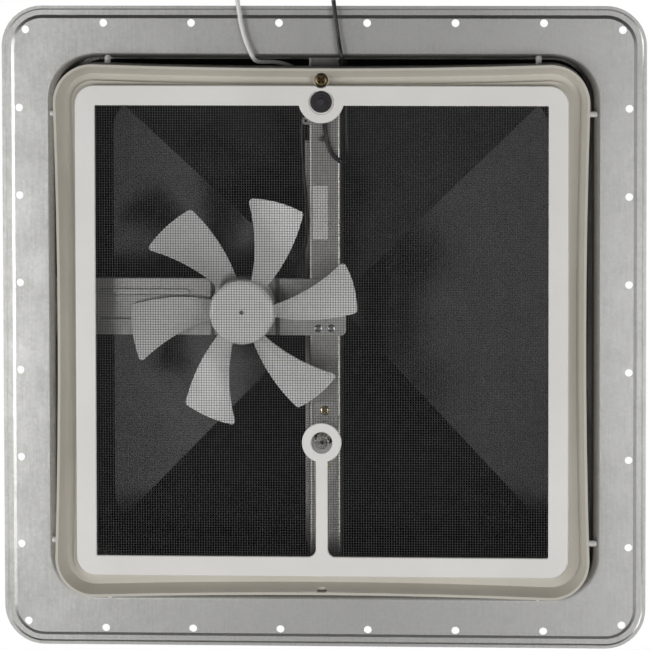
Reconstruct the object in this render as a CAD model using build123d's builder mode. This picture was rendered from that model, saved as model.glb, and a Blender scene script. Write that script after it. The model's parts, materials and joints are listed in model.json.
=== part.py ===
from build123d import *

import os
from math import atan, cos, degrees, hypot, pi, radians, sin, tan

# Powered roof vent. The origin is the middle of the flange's underside, which rests on the roof.
# +Z points up and out to the lid. The lid hinges at +Y. All sizes are in millimetres.

# ---- driving dimensions ----

slip = 0.05  # running clearance on a radius
screw_r = 1.75  # self-tapping screws of the liner and the operator
sheet = 0.9  # galvanised flange sheet
strap = 1.2  # crossbar, bracket, rail and hinge sheet

flange_half = 216.0
flange_corner = 27.0
rim_width = 8.5
hole_r = 2.6
hole_line = 204.5
hole_pitch = 59.0
holes_per_side = 6
corner_hole = 200.0

neck_half = 181.0
neck_corner = 28.0
neck_bend = 4.0
curb_top = 40.0

lip_half = 177.8
lip_corner = 25.5
lip_bow = 2.5
lip_z = -20.0
liner_wall = 1.7
moat_z = -11.0
ledge_z = -13.2
sleeve_low = 165.1
sleeve_high = 167.5
sleeve_corner_low = 12.3
sleeve_corner_high = 27.0
peg_r = 2.0
peg_z = -2.6
peg_at = 144.0

frame_half = 163.75
frame_corner = 12.7
frame_opening = 301.0
frame_front = -17.5
frame_plate = 2.2
disc_y = -154.0
disc_r = 15.2
switch_y = -153.0
ring_r = 13.2
ring_hole_r = 7.1
stem_width = 8.0
screen_half = 157.0
screen_thickness = 0.3
liner_screw_y = -167.5

bar_width = 21.5
bar_z = 11.4
bar_height = 15.6

bracket_y = -12.0
bracket_width = 38.5
bracket_end = 14.5

fan_x = -54.0
fan_y = -11.5
fan_r = 76.2
hub_r = 22.0
hub_face = -10.0
hub_back = 8.5
blade_count = 6
shaft_r = 1.5
can_r = 15.0
can_front = 13.6
can_back = 46.0

crank_y = 74.0
crank_r = 4.6
journal_r = 4.8
journal_z = 1.4
crank_tip = -16.5
pivot_y = 60.0
pivot_z = 28.0
module = 2.0 / 3.0
sector_teeth = 30
worm_pitch_r = 4.0
tooth_thickness = 0.72

hinge_y = 191.0
hinge_z = 45.0
hinge_at = 110.0
hinge_width = 50.0
hinge_pin_r = 1.5
hinge_rivet_gap = 16.0
knuckle_r = 2.7
lid_rivet_r = 1.4
lid_rivets = [(side * hinge_at + gap, 189.4) for side in (-1, 1) for gap in (-hinge_rivet_gap, hinge_rivet_gap)]

lid_half = 197.0
lid_corner = 34.0
lid_wall = 2.0
lid_flat = 50.0
skirt_bottom = 31.0
dome_foot = 158.0
dome_brow = 153.0
dome_brow_z = 64.0
dome_apex_z = 108.0
gasket_mid = 181.5
gasket_width = 8.0

rail_half = 8.2
rail_bottom = 41.0
rail_length = 344.0
rail_slot = 7.2
rail_rivet_spots = [(0, -165.0), (0, 165.0)]

os.makedirs("parts", exist_ok=True)


def save(builder, name):
    """Label a finished piece and write its STEP."""
    builder.part.label = name
    export_step(builder.part, f"parts/{name}.step")


# ---- shared shapes ----


def rounded_square(half, radius):
    """A rounded square outline on the current sketch."""
    return RectangleRounded(2 * half, 2 * half, radius)


def sweep_half_ring(half, radius, bow, points):
    """Sweep a closed profile round half of a rounded square, then mirror it.

    points are (outward, height) pairs, measured from the square's outline.
    bow is how far each side curves inward at its middle.
    """
    centre = half - radius
    middle = half - bow
    with BuildLine() as path:
        if bow:
            side_r = (centre**2 + (middle - centre) ** 2 - radius**2) / (2 * (radius - middle + centre))
            lean = degrees(atan(centre / (middle + side_r - centre)))
            CenterArc((0, -middle - side_r), side_r, 90, -lean)
            CenterArc((centre, -centre), radius, -90 - lean, 90 + 2 * lean)
            CenterArc((middle + side_r, 0), side_r, 180 + lean, -2 * lean)
            CenterArc((centre, centre), radius, -lean, 90 + 2 * lean)
            CenterArc((0, middle + side_r), side_r, -90 + lean, -lean)
        else:
            Line((0, -half), (centre, -half))
            CenterArc((centre, -centre), radius, -90, 90)
            Line((half, -centre), (half, centre))
            CenterArc((centre, centre), radius, 0, 90)
            Line((centre, half), (0, half))
    with BuildSketch(Plane(origin=(0, -middle, 0), x_dir=(0, -1, 0), z_dir=(-1, 0, 0))) as profile:
        with BuildLine():
            Polyline(*points, close=True)
        make_face()
    sweep(profile.sketch, path=path.line)
    mirror(about=Plane.YZ)


def add_rivet(plane, shank_r, grip, head_r, head_height, tail_height):
    """One rivet: a domed head below the plane, a shank of length grip and a flat tail above it."""
    with BuildSketch(Plane(origin=plane.origin, x_dir=plane.x_dir, z_dir=-plane.y_dir)) as profile:
        with BuildLine():
            Polyline(
                (0, -head_height),
                (head_r * 0.55, -head_height),
                (head_r, -head_height * 0.4),
                (head_r, 0),
                (shank_r, 0),
                (shank_r, grip),
                (head_r * 0.9, grip),
                (head_r * 0.9, grip + tail_height),
                (0, grip + tail_height),
                close=True,
            )
        make_face()
    revolve(profile.sketch, axis=Axis(plane.origin, plane.z_dir))


def wire_run(points, radius):
    """Sweep a round wire along a smooth curve through points."""
    with BuildLine() as path:
        Spline(*points)
    with BuildSketch(Plane(origin=path.line @ 0, z_dir=path.line % 0)) as section:
        Circle(radius)
    sweep(section.sketch, path=path.line)


# ---- roof flange ----

field_half = flange_half - rim_width
hole_width = 2 * (neck_half + neck_bend)
hole_offsets = [hole_pitch * (i - (holes_per_side - 1) / 2) for i in range(holes_per_side)]
side_holes = [(x, side * hole_line) for x in hole_offsets for side in (-1, 1)]
side_holes += [(side * hole_line, y) for y in hole_offsets for side in (-1, 1)]
corner_holes = [(x, y) for x in (-corner_hole, corner_hole) for y in (-corner_hole, corner_hole)]
bar_rivet_x = 5.0
bar_rivet_z = 27.0
bracket_rivet_z = 23.0
bracket_rivet_gap = 12.0
hinge_rivet_z = 27.5
rivet_r = 2.0

rim_profile = [
    (-0.5, 0),
    (0, 0),
    (2.3, 1.3),
    (5.6, 1.3),
    (6.5, 0.6),
    (rim_width, 0.6),
    (rim_width, 0.6 + sheet),
    (6.3, 0.6 + sheet),
    (5.4, 1.3 + sheet),
    (2.1, 1.3 + sheet),
    (-0.2, sheet),
    (-0.5, sheet),
]


def bend_point(radius, angle):
    """A point on the neck's bend, as (outward, height)."""
    return (neck_bend - radius * cos(radians(angle)), neck_bend - radius * sin(radians(angle)))


bend_steps = [0, 15, 30, 45, 60, 75, 90]
hem_width = 3.0
neck_profile = [bend_point(neck_bend, angle) for angle in bend_steps]
neck_profile += [(neck_bend + 1, 0), (neck_bend + 1, sheet)]
neck_profile += [bend_point(neck_bend - sheet, angle) for angle in reversed(bend_steps)]
neck_profile += [
    (sheet, curb_top),
    (-hem_width, curb_top),
    (-hem_width, curb_top - sheet),
    (0, curb_top - sheet),
]

with BuildPart() as roof_flange:
    with BuildSketch():
        rounded_square(field_half, flange_corner - rim_width)
        RectangleRounded(hole_width, hole_width, neck_corner + neck_bend, mode=Mode.SUBTRACT)
    extrude(amount=sheet)
    sweep_half_ring(field_half, flange_corner - rim_width, 0, rim_profile)
    sweep_half_ring(neck_half, neck_corner, 0, neck_profile)
    with BuildSketch():
        with Locations(*side_holes, *corner_holes):
            Circle(hole_r)
    extrude(amount=sheet, mode=Mode.SUBTRACT)
    with BuildSketch(Plane.XZ):
        with Locations((-bar_rivet_x, bar_rivet_z), (bar_rivet_x, bar_rivet_z)):
            Circle(rivet_r)
    extrude(amount=neck_half + 2, both=True, mode=Mode.SUBTRACT)
    with BuildSketch(Plane.XZ.offset(-neck_half + 2)):
        for x in (-hinge_at, hinge_at):
            with Locations((x - hinge_rivet_gap, hinge_rivet_z), (x + hinge_rivet_gap, hinge_rivet_z)):
                Circle(rivet_r)
    extrude(amount=-4, mode=Mode.SUBTRACT)
    with BuildSketch(Plane.YZ.offset(-neck_half - 2)):
        with Locations(
            (bracket_y - bracket_rivet_gap, bracket_rivet_z), (bracket_y + bracket_rivet_gap, bracket_rivet_z)
        ):
            Circle(rivet_r)
    extrude(amount=4, mode=Mode.SUBTRACT)
save(roof_flange, "roof_flange")

# ---- inner liner ----

relief_r = 3.2
boss_r = 5.5
boss_z = -14.9

liner_profile = [
    (0, 8),
    (0, lip_z),
    (-liner_wall, lip_z),
    (-6.4, moat_z),
    (-11.1, moat_z),
    (-11.1, ledge_z),
    (-17.8, ledge_z),
    (-17.8, ledge_z + liner_wall),
    (-12.8, ledge_z + liner_wall),
    (-12.8, moat_z + liner_wall),
    (-5.4, moat_z + liner_wall),
    (-liner_wall, -16.3),
    (-liner_wall, 8),
]

with BuildPart() as inner_liner:
    sweep_half_ring(lip_half, lip_corner, lip_bow, liner_profile)
    sleeve_z = moat_z + 0.7
    with BuildSketch(Plane.XY.offset(sleeve_z)):
        rounded_square(sleeve_low + liner_wall, sleeve_corner_low + liner_wall)
    with BuildSketch(Plane.XY.offset(curb_top)):
        rounded_square(sleeve_high + liner_wall, sleeve_corner_high + liner_wall)
    loft()
    with BuildSketch(Plane.XY.offset(sleeve_z)):
        rounded_square(sleeve_low, sleeve_corner_low)
    with BuildSketch(Plane.XY.offset(curb_top)):
        rounded_square(sleeve_high, sleeve_corner_high)
    loft(mode=Mode.SUBTRACT)
    with BuildSketch(Plane.XY.offset(boss_z)):
        with Locations((0, liner_screw_y)):
            Circle(boss_r)
        with Locations((0, liner_screw_y + boss_r)):
            Rectangle(2 * boss_r, 4.4, mode=Mode.SUBTRACT)
    extrude(amount=moat_z - boss_z + 1)
    with BuildSketch(Plane.XY.offset(lip_z)):
        with Locations((0, liner_screw_y)):
            Circle(4.8)
    extrude(amount=boss_z - lip_z, mode=Mode.SUBTRACT)
    with BuildSketch(Plane.XY.offset(boss_z - 1)):
        with Locations((0, liner_screw_y)):
            Circle(1.9)
    extrude(amount=40, mode=Mode.SUBTRACT)
    with BuildSketch(Plane.XY.offset(lip_z)):
        with Locations((0, lip_half - liner_wall - lip_bow)):
            Circle(relief_r)
        with Locations((0, lip_half - liner_wall - lip_bow + relief_r)):
            Rectangle(3 * relief_r, 2 * relief_r, mode=Mode.SUBTRACT)
    extrude(amount=4.5, mode=Mode.SUBTRACT)
    with BuildSketch(Plane.XY.offset(bar_z - 2.4)):
        with Locations((0, 165), (0, -165)):
            Rectangle(40, 24)
        with Locations((-165, bracket_y)):
            Rectangle(24, bracket_width + 3)
    extrude(amount=40, mode=Mode.SUBTRACT)
    with BuildSketch(Plane.XY.offset(ledge_z - 1)):
        with Locations((0, switch_y)):
            Rectangle(18, 21)
    extrude(amount=3.2, mode=Mode.SUBTRACT)
    with BuildSketch(Plane.XZ):
        with Locations((-peg_at, peg_z), (peg_at, peg_z)):
            Circle(peg_r + slip)
    extrude(amount=lip_half + 1, both=True, mode=Mode.SUBTRACT)
    with BuildSketch(Plane.YZ):
        with Locations((-peg_at, peg_z), (peg_at, peg_z)):
            Circle(peg_r + slip)
    extrude(amount=lip_half + 1, both=True, mode=Mode.SUBTRACT)
save(inner_liner, "inner_liner")

# ---- liner pegs ----

peg_tip = 183.0
peg_head_from = 174.2
peg_head_to = 175.5
peg_head_r = 3.2

peg_outline = [
    (0, peg_head_from),
    (peg_head_r, peg_head_from),
    (peg_head_r, peg_head_to),
    (peg_r, peg_head_to),
    (peg_r, peg_tip - 1.2),
    (peg_r - 0.7, peg_tip),
    (0, peg_tip),
]

with BuildPart() as one_peg:
    with BuildSketch(Plane.XY.offset(peg_z)):
        with BuildLine():
            Polyline(*[(peg_at + r, y) for r, y in peg_outline], close=True)
        make_face()
    revolve(axis=Axis((peg_at, 0, peg_z), (0, 1, 0)))
    mirror(about=Plane.YZ)

with BuildPart() as liner_pegs:
    with PolarLocations(0, 4):
        add(one_peg.part)
save(liner_pegs, "liner_pegs")

# ---- liner screw ----


def cross_recess(plane, width, length, depth):
    """Cut a cross recess into a screw head at the plane."""
    with BuildSketch(plane) as cross:
        Rectangle(length, width)
        Rectangle(width, length)
    extrude(cross.sketch, amount=depth, mode=Mode.SUBTRACT)


def add_pan_screw(point, head_r, head_height, shank_r, length):
    """A pan head screw pointing up: its head's underside is at point."""
    x, y, z = point
    with BuildSketch(Plane(origin=point, x_dir=(1, 0, 0), z_dir=(0, -1, 0))) as profile:
        with BuildLine():
            Polyline((0, -head_height), (head_r * 0.6, -head_height))
            ThreePointArc(
                (head_r * 0.6, -head_height), (head_r * 0.9, -head_height * 0.7), (head_r, -head_height * 0.15)
            )
            Polyline(
                (head_r, -head_height * 0.15),
                (head_r, 0),
                (shank_r, 0),
                (shank_r, length - shank_r),
                (shank_r * 0.3, length),
                (0, length),
                (0, -head_height),
            )
        make_face()
    revolve(profile.sketch, axis=Axis(point, (0, 0, 1)))
    head_plane = Plane(origin=(x, y, z - head_height), x_dir=(1, 1, 0), z_dir=(0, 0, 1))
    cross_recess(head_plane, head_r * 0.26, head_r * 1.2, head_height * 0.85)


with BuildPart() as liner_screw:
    add_pan_screw((0, liner_screw_y, boss_z), 4.5, 2.4, screw_r, 31)
save(liner_screw, "liner_screw")

# ---- screen frame ----

frame_back = frame_front + frame_plate
opening_half = frame_opening / 2
ring_fillet = 2.0
stem_fillet = 5.0

with BuildPart() as screen_frame:
    with BuildSketch(Plane.XY.offset(frame_front)) as outline:
        rounded_square(frame_half, frame_corner)
        RectangleRounded(frame_opening, frame_opening, 0.8, mode=Mode.SUBTRACT)
        with Locations((0, disc_y)):
            Circle(disc_r)
        with Locations((0, -frame_half - disc_r)):
            Rectangle(2 * frame_half, 2 * disc_r, mode=Mode.SUBTRACT)
        with Locations((0, (crank_y + opening_half + 1) / 2)):
            Rectangle(stem_width, opening_half + 1 - crank_y)
        stem_corners = outline.vertices().filter_by(
            lambda v: abs(abs(v.X) - stem_width / 2) < 0.1 and v.Y > opening_half - 1
        )
        fillet(stem_corners, stem_fillet)
        with Locations((0, crank_y)):
            Circle(ring_r)
            Circle(ring_hole_r, mode=Mode.SUBTRACT)
        with Locations((0, liner_screw_y)):
            Circle(5.2, mode=Mode.SUBTRACT)
    extrude(amount=frame_plate)
    front_edges = screen_frame.faces().sort_by(Axis.Z)[0].edges()
    chamfer(front_edges.filter_by(lambda e: e.length > 6), 0.45)
    with BuildSketch(Plane.XY.offset(frame_back)):
        rounded_square(frame_half, frame_corner)
        RectangleRounded(
            2 * frame_half - 3.2, 2 * frame_half - 3.2, frame_corner - 1.6, mode=Mode.SUBTRACT
        )
        with Locations((0, liner_screw_y)):
            Circle(5.2, mode=Mode.SUBTRACT)
    extrude(amount=2)
    with BuildSketch(Plane.XY.offset(frame_front)):
        with Locations((0, switch_y)):
            Circle(8.6)
    extrude(amount=0.7, taper=20, mode=Mode.SUBTRACT)
    with BuildSketch(Plane.XY.offset(frame_front)):
        with Locations((0, switch_y)):
            Circle(4.3)
    extrude(amount=frame_plate, mode=Mode.SUBTRACT)
save(screen_frame, "screen_frame")

# ---- insect screen ----

with BuildPart() as insect_screen:
    with BuildSketch(Plane.XY.offset(frame_back + slip)):
        Rectangle(2 * screen_half, 2 * screen_half)
        with Locations((0, crank_y)):
            Circle(ring_hole_r + 1, mode=Mode.SUBTRACT)
        with Locations((0, switch_y)):
            Circle(9.5, mode=Mode.SUBTRACT)
    extrude(amount=screen_thickness)
save(insect_screen, "insect_screen")

# ---- crossbar ----

bar_end = neck_half - slip
ear_x = -12.8
ear_y = -138.0
ear_r = 2.5
ear_hole_r = 0.9
slot_y = -126.0

with BuildPart() as crossbar:
    with BuildSketch(Plane.XZ.offset(-bar_end)):
        with Locations((0, bar_z + bar_height / 2)):
            Rectangle(bar_width, bar_height)
    extrude(amount=2 * bar_end)
    lower = crossbar.faces().sort_by(Axis.Z)[0].edges().filter_by(Axis.Y)
    fillet(lower, 1.8)
    with BuildSketch(Plane.XZ.offset(-bar_end)) as bar_inside:
        with Locations((0, bar_z + strap + bar_height / 2)):
            Rectangle(bar_width - 2 * strap, bar_height)
        fillet(bar_inside.vertices().group_by(Axis.Y)[0], 0.8)
    extrude(amount=2 * bar_end, mode=Mode.SUBTRACT)
    for side in (-1, 1):
        with BuildSketch(Plane.XY.offset(bar_z + strap - 0.2)):
            with Locations((0, side * (bar_end - strap / 2))):
                Rectangle(bar_width - 2 * strap - 0.4, strap)
        extrude(amount=21)
    with BuildSketch(Plane.XY.offset(bar_z)):
        with Locations((ear_x, ear_y)):
            Circle(ear_r)
        with Locations((ear_x / 2 - 2, ear_y)):
            Rectangle(-ear_x - 4, 2 * ear_r)
    extrude(amount=strap)
    with BuildSketch(Plane.XY.offset(bar_z - 1)):
        with Locations((-1.5, slot_y)):
            SlotOverall(6.5, 4)
        with Locations((ear_x, ear_y)):
            Circle(ear_hole_r)
        with Locations((0, crank_y)):
            Circle(5.2)
        with Locations((0, crank_y - 16), (0, crank_y + 21), (0, liner_screw_y)):
            Circle(screw_r)
        with Locations((-4.5, 2.3), (4.5, 2.3)):
            Circle(1.6)
    extrude(amount=strap + 2, mode=Mode.SUBTRACT)
    with BuildSketch(Plane.XZ):
        with Locations((-bar_rivet_x, bar_rivet_z), (bar_rivet_x, bar_rivet_z)):
            Circle(rivet_r)
    extrude(amount=bar_end + 1, both=True, mode=Mode.SUBTRACT)
save(crossbar, "crossbar")

with BuildPart() as crossbar_rivets:
    for side in (-1, 1):
        for x in (-bar_rivet_x, bar_rivet_x):
            start = Plane(
                origin=(x, side * (bar_end - strap), bar_rivet_z), x_dir=(1, 0, 0), z_dir=(0, side, 0)
            )
            add_rivet(start, rivet_r, strap + slip + sheet, 3.6, 1.3, 1.0)
save(crossbar_rivets, "crossbar_rivets")

with BuildPart() as blank_label:
    with BuildSketch(Plane.XY.offset(bar_z - 0.15)):
        with Locations((-3, -76)):
            RectangleRounded(10, 36.5, 0.8)
    extrude(amount=0.15)
save(blank_label, "blank_label")

# ---- motor bracket ----

bracket_z = bar_z - strap
seat_drop = 2.2
bracket_left = -neck_half + slip
seat_low = fan_x - 20.5
seat_high = fan_x + 20.5
rib_length = 62.0
rib_x = -122.0

bracket_line = [
    (bracket_left, bracket_z),
    (seat_low - 3, bracket_z),
    (seat_low, bracket_z + seat_drop),
    (seat_high, bracket_z + seat_drop),
    (seat_high + 3, bracket_z),
    (bracket_end, bracket_z),
]

with BuildPart() as motor_bracket:
    with BuildSketch(Plane.XZ.offset(-bracket_y - bracket_width / 2)):
        with BuildLine():
            Polyline(
                *bracket_line,
                *[(x, z + strap) for x, z in reversed(bracket_line)][:-1],
                (bracket_left + strap, bracket_z + strap),
                (bracket_left + strap, bracket_z + 20),
                (bracket_left, bracket_z + 20),
                close=True,
            )
        make_face()
    extrude(amount=bracket_width)
    fillet(motor_bracket.edges().filter_by(Axis.Z).group_by(Axis.X)[-1], 4)
    for y in (bracket_y - 10, bracket_y + 10):
        with BuildSketch(Plane.XY.offset(bracket_z + 0.2)):
            with Locations((rib_x, y)):
                SlotOverall(rib_length, 5)
        extrude(amount=-1.1, taper=35)
    with BuildSketch(Plane.XY.offset(bracket_z - 2)):
        with Locations((fan_x, fan_y)):
            Circle(5.2)
        with Locations((fan_x, fan_y - 9.5), (fan_x, fan_y + 9.5)):
            Circle(1.6)
        with Locations((-4.5, 2.3), (4.5, 2.3)):
            Circle(1.6)
    extrude(amount=8, mode=Mode.SUBTRACT)
    with BuildSketch(Plane.YZ.offset(bracket_left - 1)):
        with Locations(
            (bracket_y - bracket_rivet_gap, bracket_rivet_z), (bracket_y + bracket_rivet_gap, bracket_rivet_z)
        ):
            Circle(rivet_r)
    extrude(amount=4, mode=Mode.SUBTRACT)
save(motor_bracket, "motor_bracket")

with BuildPart() as bracket_rivets:
    for y in (bracket_y - bracket_rivet_gap, bracket_y + bracket_rivet_gap):
        start = Plane(origin=(bracket_left + strap, y, bracket_rivet_z), x_dir=(0, 1, 0), z_dir=(-1, 0, 0))
        add_rivet(start, rivet_r, strap + slip + sheet, 3.6, 1.3, 1.0)
    for x in (-4.5, 4.5):
        start = Plane(origin=(x, 2.3, bracket_z), x_dir=(1, 0, 0), z_dir=(0, 0, 1))
        add_rivet(start, 1.6, 2 * strap, 2.6, 0.9, 0.9)
save(bracket_rivets, "bracket_rivets")

# ---- motor ----

motor_axis = Axis((fan_x, fan_y, 0), (0, 0, 1))
motor_plane = Plane(origin=(fan_x, fan_y, 0), x_dir=(1, 0, 0), z_dir=(0, -1, 0))
can_wall = 1.2
boss_bottom = 10.6
bush_r = 3.2


def turned(points, plane=motor_plane, axis=motor_axis):
    """Revolve a closed (radius, height) outline about the axis."""
    with BuildSketch(plane) as profile:
        with BuildLine():
            Polyline(*points, close=True)
        make_face()
    revolve(profile.sketch, axis=axis)


with BuildPart() as motor_can:
    turned(
        [
            (2.2, boss_bottom),
            (5, boss_bottom),
            (5, can_front),
            (can_r, can_front),
            (can_r, can_back),
            (can_r - can_wall, can_back),
            (can_r - can_wall, can_front + can_wall),
            (bush_r + slip, can_front + can_wall),
            (bush_r + slip, boss_bottom + 1),
            (2.2, boss_bottom + 1),
        ]
    )
    with BuildSketch(Plane.XY.offset(can_front)):
        with Locations((fan_x, fan_y - 9.5), (fan_x, fan_y + 9.5)):
            Circle(1.5)
    extrude(amount=can_wall, mode=Mode.SUBTRACT)
    front_circles = motor_can.edges().filter_by(GeomType.CIRCLE).filter_by_position(Axis.Z, 13.5, 13.7)
    fillet(front_circles.sort_by(SortBy.RADIUS)[-1:], 1)
save(motor_can, "motor_can")

with BuildPart() as motor_end_cap:
    turned(
        [
            (bush_r + slip, can_back - 2.5),
            (can_r - can_wall - slip, can_back - 2.5),
            (can_r - can_wall - slip, can_back),
            (can_r, can_back),
            (can_r, can_back + 1.5),
            (5, can_back + 2.5),
            (5, can_back + 4),
            (1.8, can_back + 4),
            (1.8, can_back + 3),
            (bush_r + slip, can_back + 3),
        ]
    )
save(motor_end_cap, "motor_end_cap")

with BuildPart() as motor_magnets:
    with BuildSketch(Plane.XY.offset(19)):
        with Locations((fan_x, fan_y)):
            Circle(can_r - can_wall)
            Circle(11.0, mode=Mode.SUBTRACT)
            Rectangle(40, 8, mode=Mode.SUBTRACT)
    extrude(amount=22)
save(motor_magnets, "motor_magnets")

with BuildPart() as motor_bushes:
    for low, high in ((boss_bottom + 1, can_front + can_wall + 1), (can_back - 2.5, can_back + 3)):
        turned([(shaft_r + slip, low), (bush_r, low), (bush_r, high), (shaft_r + slip, high)])
save(motor_bushes, "motor_bushes")

with BuildPart() as motor_screws:
    for y in (fan_y - 9.5, fan_y + 9.5):
        add_pan_screw((fan_x, y, bracket_z + seat_drop), 2.7, 1.6, 1.5, 3.4)
save(motor_screws, "motor_screws")

with BuildPart() as motor_shaft:
    turned([(0, -8), (shaft_r - 0.3, -8), (shaft_r, -7.7), (shaft_r, 48.5), (0, 48.5)])
save(motor_shaft, "motor_shaft")

with BuildPart() as motor_rotor:
    turned([(shaft_r, 18), (9, 18), (9, 21), (8.8, 21), (8.8, 40), (shaft_r, 40)])
    with BuildSketch(Plane.XY.offset(21)):
        with Locations((fan_x, fan_y)):
            Circle(10.5)
            with PolarLocations(9.6, 5):
                Rectangle(4, 1.4, mode=Mode.SUBTRACT)
            Circle(shaft_r, mode=Mode.SUBTRACT)
    extrude(amount=16)
    turned([(shaft_r, 40), (3.6, 40), (3.6, 43), (shaft_r, 43)])
save(motor_rotor, "motor_rotor")

# ---- fan blades ----

blade_turn = 14.0  # how far the blade's middle line turns from tip to root, degrees
blade_spread = 14.3  # half of the angle that a blade covers, degrees
blade_lift = 6.8  # half of the height that a blade climbs
blade_mid_z = 0.6
blade_thick = 1.5
blade_camber = 1.1
tip_angle = -12.5
blade_root = hub_r - 1.2
blade_stations = [blade_root - 2, 38, 56, fan_r + 2]


def middle_angle(r):
    """Angle of a blade's middle line at radius r, in degrees from its tip."""
    return blade_turn * (fan_r - r) / (fan_r - blade_root)


def blade_edge_point(r, side):
    """A point on a blade's edge, seen along the axis."""
    angle = radians(middle_angle(r) + side * blade_spread)
    return (r * cos(angle), r * sin(angle))


def blade_section(r):
    """Sketch a cambered blade section at radius r, wider than the finished blade."""
    angle = radians(middle_angle(r))
    reach = r * radians(blade_spread)
    pitch = atan(blade_lift / reach)
    half = 1.3 * hypot(reach, blade_lift)
    across = Vector(-sin(angle) * cos(pitch), cos(angle) * cos(pitch), sin(pitch))
    plane = Plane(
        origin=(r * cos(angle), r * sin(angle), blade_mid_z), x_dir=across, z_dir=(cos(angle), sin(angle), 0)
    )
    with BuildSketch(plane) as section:
        with BuildLine():
            ThreePointArc((-half, 0), (0, blade_camber), (half, 0))
            Line((half, 0), (half, -blade_thick))
            ThreePointArc((half, -blade_thick), (0, blade_camber - blade_thick), (-half, -blade_thick))
            Line((-half, -blade_thick), (-half, 0))
        make_face()
    return section.sketch


with BuildPart() as one_blade:
    loft(sections=[blade_section(r) for r in blade_stations])
    with BuildSketch(Plane.XY.offset(-20)) as planform:
        with BuildLine():
            for side in (-1, 1):
                Spline(*[blade_edge_point(r, side) for r in (blade_root, 36, 50, 64, fan_r)])
            CenterArc((0, 0), fan_r, -blade_spread, 2 * blade_spread)
            Line(blade_edge_point(blade_root, -1), blade_edge_point(blade_root, 1))
        make_face()
        fillet(planform.vertices().sort_by(Axis.X)[-2:], 2.4)
    extrude(amount=40, mode=Mode.INTERSECT)

with BuildPart(Plane(origin=(fan_x, fan_y, 0))) as fan_blades:
    with PolarLocations(0, blade_count, start_angle=tip_angle):
        add(one_blade.part)
    turned(
        [
            (shaft_r, hub_face + 1.9),
            (shaft_r - 0.1, hub_face + 1.9),
            (shaft_r - 0.1, hub_face),
            (hub_r - 3, hub_face),
            (hub_r - 0.9, hub_face + 0.9),
            (hub_r, hub_face + 3),
            (hub_r, hub_back),
            (hub_r - 1.8, hub_back),
            (hub_r - 1.8, hub_face + 3.4),
            (hub_r - 3.4, hub_face + 1.8),
            (5, hub_face + 1.8),
            (4.6, hub_back),
            (shaft_r, hub_back),
        ]
    )
    for angle in range(0, 360, 60):
        with BuildSketch(Plane.XY.offset(hub_face + 1.5)):
            with Locations((fan_x, fan_y)):
                with PolarLocations(12.3, 1, start_angle=angle):
                    Rectangle(17, 1.2)
        extrude(amount=9)
save(fan_blades, "fan_blades")

# ---- fan switch ----

switch_axis = Axis((0, switch_y, 0), (0, 0, 1))
switch_plane = Plane(origin=(0, switch_y, 0), x_dir=(1, 0, 0), z_dir=(0, -1, 0))
dish_z = frame_front + 0.7
button_r = 2.85
button_travel = 2.0

with BuildPart() as switch_nut:
    turned(
        [(4.25, dish_z - 1.6), (6.6, dish_z - 1.6), (7.2, dish_z - 1.0), (7.2, dish_z), (4.25, dish_z)],
        switch_plane,
        switch_axis,
    )
    with BuildSketch(Plane.XY.offset(dish_z - 2)):
        with Locations((0, switch_y)):
            with PolarLocations(7.35, 32):
                Circle(0.35)
    extrude(amount=3, mode=Mode.SUBTRACT)
save(switch_nut, "switch_nut")

with BuildPart() as switch_body:
    turned(
        [
            (button_r + slip, dish_z - 2.2),
            (4.2, dish_z - 2.2),
            (4.2, frame_back + slip),
            (8.2, frame_back + slip),
            (8.2, -3),
            (7.2, 0),
            (0, 0),
            (0, -3),
            (5.5, -3),
            (5.5, -10.4),
            (button_r + slip, -10.4),
        ],
        switch_plane,
        switch_axis,
    )
save(switch_body, "switch_body")

with BuildPart() as switch_button:
    turned(
        [
            (0, dish_z - 3.1),
            (button_r - 0.6, dish_z - 3.1),
            (button_r, dish_z - 2.5),
            (button_r, -10.3),
            (4.4, -10.3),
            (4.4, -9),
            (1.2, -9),
            (1.2, -6),
            (0, -6),
        ],
        switch_plane,
        switch_axis,
    )
save(switch_button, "switch_button")

with BuildPart() as switch_spring:
    with BuildLine() as coil:
        Helix(pitch=1.1, height=4.6, radius=2.1, center=(0, switch_y, -8.4))
    with BuildSketch(Plane(origin=coil.line @ 0, z_dir=coil.line % 0)) as coil_section:
        Circle(0.3)
    sweep(coil_section.sketch, path=coil.line, is_frenet=True)
save(switch_spring, "switch_spring")

# ---- wires ----

cord_r = 1.5
supply_r = 1.45
lead_r = 0.9
connector_y = -148.5

with BuildPart() as switch_cord:
    wire_run(
        [
            (1.5, switch_y + 1, 1.6),
            (0.4, -141, 5),
            (0.8, -132, 8.4),
            (2.7, -122, 9.3),
            (6.5, -114.5, 9.2),
            (12, -110.5, 11),
            (14.4, -112, 16),
            (14.2, -125, 19.5),
            (13.8, -140, 20),
            (13.8, connector_y + 0.3, 20),
        ],
        cord_r,
    )
save(switch_cord, "switch_cord")

with BuildPart() as one_connector:
    Cylinder(2.3, 13, align=(Align.CENTER, Align.CENTER, Align.MIN))
    fillet(one_connector.edges().filter_by(GeomType.CIRCLE), 0.8)

with BuildPart() as wire_connectors:
    for x in (-14.2, 13.8):
        with Locations(Plane(origin=(x, connector_y, 20), z_dir=(0, -1, 0))):
            add(one_connector.part)
save(wire_connectors, "wire_connectors")

with BuildPart() as supply_wire_black:
    wire_run(
        [
            (13.8, -162.2, 20),
            (13.9, -170, 17),
            (13.8, -177.6, 9),
            (13.5, -178.2, 0),
            (12.8, -181.5, -4.2),
            (11, -191, -4.1),
            (9, -205, -3.8),
            (7.6, -217, -3.4),
            (7.2, -220, -3.2),
        ],
        supply_r,
    )
save(supply_wire_black, "supply_wire_black")

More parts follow.
